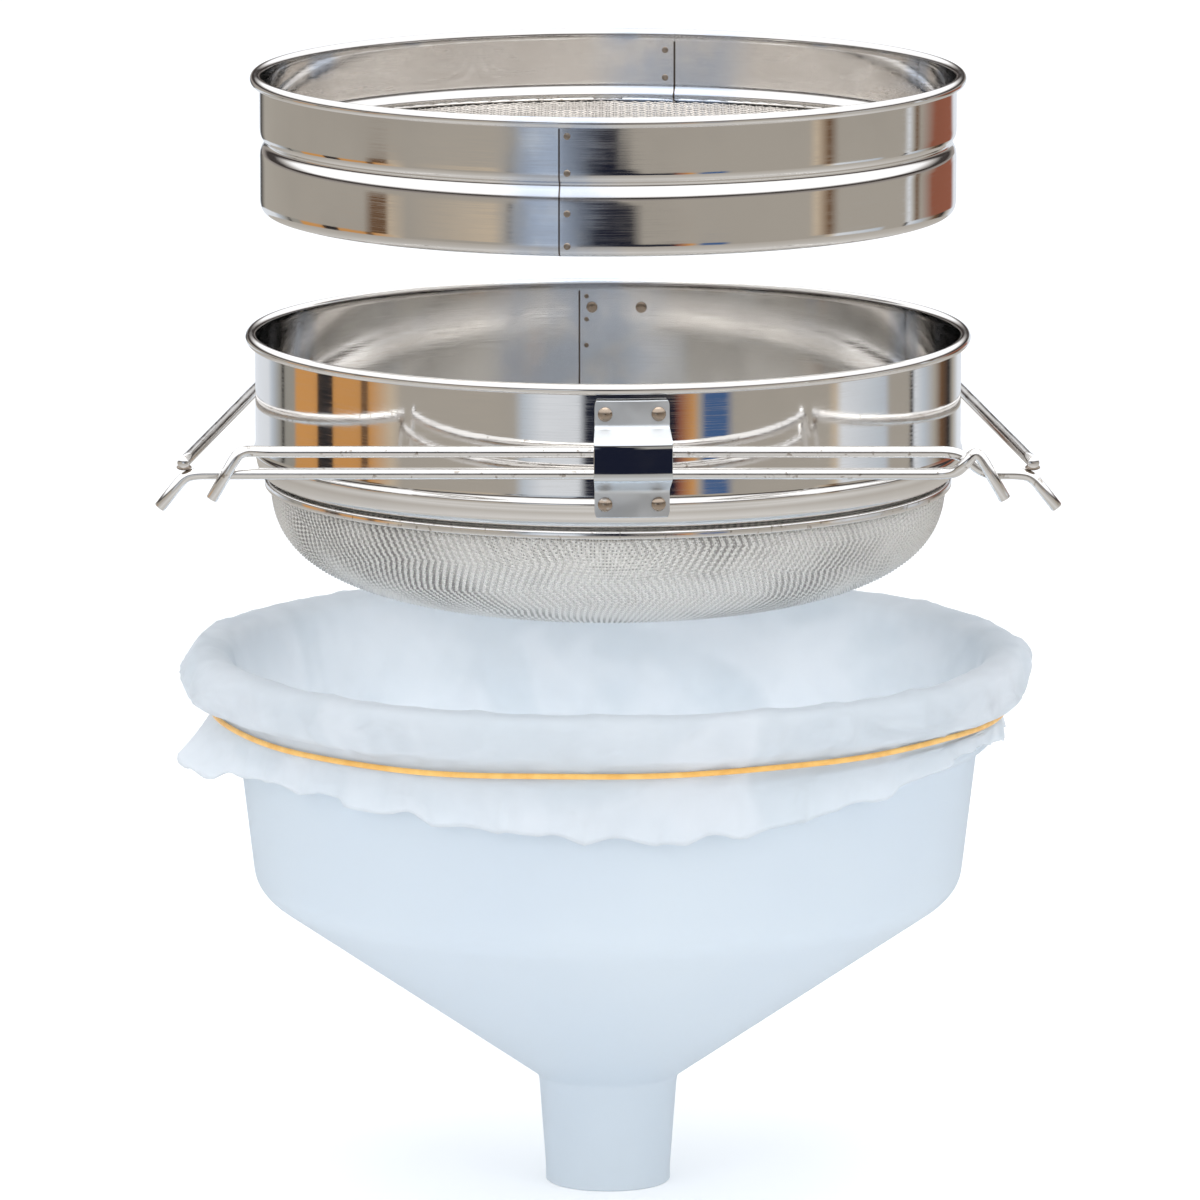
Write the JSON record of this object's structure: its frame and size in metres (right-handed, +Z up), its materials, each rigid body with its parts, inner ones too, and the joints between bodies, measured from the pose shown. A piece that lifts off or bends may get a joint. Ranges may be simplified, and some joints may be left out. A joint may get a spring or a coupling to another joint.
{
  "type": "double sieve strainer",
  "caption": "Coarse sieve and fine mesh bowl with sliding wire arms over a plastic funnel with a cloth filter, for straining honey.",
  "frame": {"origin": "centre of the funnel spout's end face, which is the centre of the bounding box's bottom", "axes": "+Z up along the common axis of funnel and sieves, -Y the front with the offset bracket, +X right along the sliding rods"},
  "size_m": [0.2934, 0.2838, 0.376],
  "materials": {
    "polished_steel": "mirror-polished stainless sheet",
    "wire_steel": "bright drawn stainless wire",
    "mesh_steel": "woven stainless wire mesh",
    "milky_plastic": "milky translucent polyethylene",
    "nylon_cloth": "thin translucent woven nylon",
    "elastic": "thin covered elastic cord"
  },
  "bodies": {
    "funnel": {"funnel_body": "milky_plastic", "filter_cloth": "nylon_cloth", "elastic_band": "elastic"},
    "lower_sieve": {"lower_band": "polished_steel", "lower_rim_wire": "wire_steel", "lower_mesh_bowl": "mesh_steel", "lower_mesh_hoop": "polished_steel", "front_bracket": "polished_steel", "rear_bracket": "polished_steel", "front_rivet_top_1": "wire_steel", "front_rivet_top_2": "wire_steel", "front_rivet_bottom_1": "wire_steel", "front_rivet_bottom_2": "wire_steel", "rear_rivet_top_1": "wire_steel", "rear_rivet_top_2": "wire_steel", "rear_rivet_bottom_1": "wire_steel", "rear_rivet_bottom_2": "wire_steel"},
    "left_arm": {"left_arm_front_rod": "wire_steel", "left_arm_rear_rod": "wire_steel", "left_arm_cross_bar": "wire_steel"},
    "right_arm": {"right_arm_front_rod": "wire_steel", "right_arm_rear_rod": "wire_steel", "right_arm_cross_bar": "wire_steel"},
    "upper_sieve": {"upper_band": "polished_steel", "upper_rim_wire": "wire_steel", "upper_mesh_disc": "mesh_steel", "upper_mesh_hoop": "wire_steel"}
  },
  "joints": [
    {"name": "lower_sieve_lift", "type": "slide", "parent": "funnel", "child": "lower_sieve", "axis": [0, 0, 1], "range_m": [-0.073, 0]},
    {"name": "upper_sieve_lift", "type": "slide", "parent": "lower_sieve", "child": "upper_sieve", "axis": [0, 0, 1], "range_m": [-0.082, 0]},
    {"name": "left_arm_slide", "type": "slide", "parent": "lower_sieve", "child": "left_arm", "axis": [-1, 0, 0], "range_m": [0, 0.026]},
    {"name": "right_arm_slide", "type": "slide", "parent": "lower_sieve", "child": "right_arm", "axis": [1, 0, 0], "range_m": [0, 0.026]}
  ]
}
